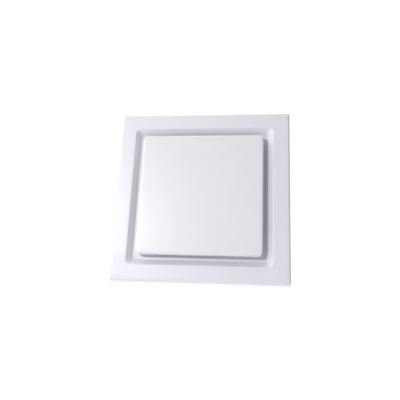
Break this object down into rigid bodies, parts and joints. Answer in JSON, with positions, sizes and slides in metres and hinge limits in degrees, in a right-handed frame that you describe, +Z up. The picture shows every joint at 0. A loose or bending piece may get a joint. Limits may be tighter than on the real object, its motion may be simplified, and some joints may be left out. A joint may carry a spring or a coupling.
{
  "type": "bathroom extractor fan",
  "caption": "Square-fronted recessed bathroom extractor fan with a perimeter inlet, centrifugal impeller and round duct spigot with back-draught flaps.",
  "frame": {"origin": "centre of the fascia's rim, on the wall's surface", "axes": "+Y into the wall, +Z up towards the duct spigot, +X to the right of a person facing the fan"},
  "size_m": [0.25, 0.1533, 0.269],
  "materials": {
    "white_plastic": "satin moulded, white",
    "panel_plastic": "satin moulded, white",
    "guard_plastic": "satin moulded, light grey",
    "galvanised_sheet": "zinc coated",
    "black_plastic": "moulded, black",
    "grey_plastic": "moulded, grey",
    "flap_plastic": "thin moulded, off white",
    "zinc_screw": "zinc plated",
    "bright_steel": "ground",
    "brass": "turned",
    "lamination_steel": "stacked laminations",
    "enamelled_copper": "enamelled winding wire",
    "motor_paint": "satin black paint",
    "rubber": "matt, black",
    "foam": "closed-cell foam",
    "board_laminate": "solder mask, green",
    "relay_plastic": "moulded, blue",
    "terminal_plastic": "moulded, green",
    "knob_plastic": "moulded, yellow",
    "can_aluminium": "drawn can"
  },
  "bodies": {
    "housing": {"fascia_frame": "white_plastic", "inlet_guard": "guard_plastic", "guard_bars": "guard_plastic", "fascia_screws": "zinc_screw", "fascia_nuts": "zinc_screw", "housing_flange": "galvanised_sheet", "housing_top": "galvanised_sheet", "housing_bottom": "galvanised_sheet", "housing_left": "galvanised_sheet", "housing_right": "galvanised_sheet", "housing_rear": "galvanised_sheet", "wall_seal": "foam", "scroll_casing": "grey_plastic", "orifice_plate": "galvanised_sheet", "orifice_screws": "zinc_screw", "stator_core": "lamination_steel", "stator_windings": "enamelled_copper", "motor_front_shell": "motor_paint", "motor_rear_shell": "motor_paint", "front_bearing": "bright_steel", "rear_bearing": "bright_steel", "motor_bracket": "galvanised_sheet", "rubber_mounts": "rubber", "mount_screws": "zinc_screw", "outlet_spigot": "grey_plastic", "flap_stop": "grey_plastic", "outlet_plate": "grey_plastic", "outlet_gasket": "foam", "outlet_screws": "zinc_screw", "flap_pin": "bright_steel", "control_tray": "black_plastic", "control_cover": "grey_plastic", "cover_screw": "zinc_screw", "control_board": "board_laminate", "relay": "relay_plastic", "timer_trimmer": "relay_plastic", "terminal_block": "terminal_plastic", "terminal_screws": "zinc_screw", "cable_grommet": "rubber", "run_capacitor": "can_aluminium", "capacitor_clip": "galvanised_sheet", "earth_screw": "brass"},
    "front_panel": {"front_panel": "panel_plastic"},
    "impeller": {"impeller": "black_plastic", "impeller_bush": "brass", "hub_nut": "brass", "motor_shaft": "bright_steel", "rotor_core": "lamination_steel"},
    "damper_left": {"damper_flap_left": "flap_plastic"},
    "damper_right": {"damper_flap_right": "flap_plastic"},
    "timer_knob": {"timer_knob": "knob_plastic"}
  },
  "joints": [
    {"name": "impeller_spin", "type": "hinge", "parent": "housing", "child": "impeller", "pos_m": [0, 0.06, 0], "axis": [0, -1, 0], "continuous": true},
    {"name": "front_panel_pull", "type": "slide", "parent": "housing", "child": "front_panel", "axis": [0, -1, 0], "range_m": [0, 0.04]},
    {"name": "damper_left_swing", "type": "hinge", "parent": "housing", "child": "damper_left", "pos_m": [0.051, 0.076, 0.116], "axis": [0, 1, 0], "range_deg": [0, 78]},
    {"name": "damper_right_swing", "type": "hinge", "parent": "housing", "child": "damper_right", "pos_m": [0.051, 0.076, 0.116], "axis": [0, -1, 0], "range_deg": [0, 78]},
    {"name": "timer_knob_turn", "type": "hinge", "parent": "housing", "child": "timer_knob", "pos_m": [-0.072, 0.02, 0.088], "axis": [0, -1, 0], "range_deg": [0, 270]}
  ]
}
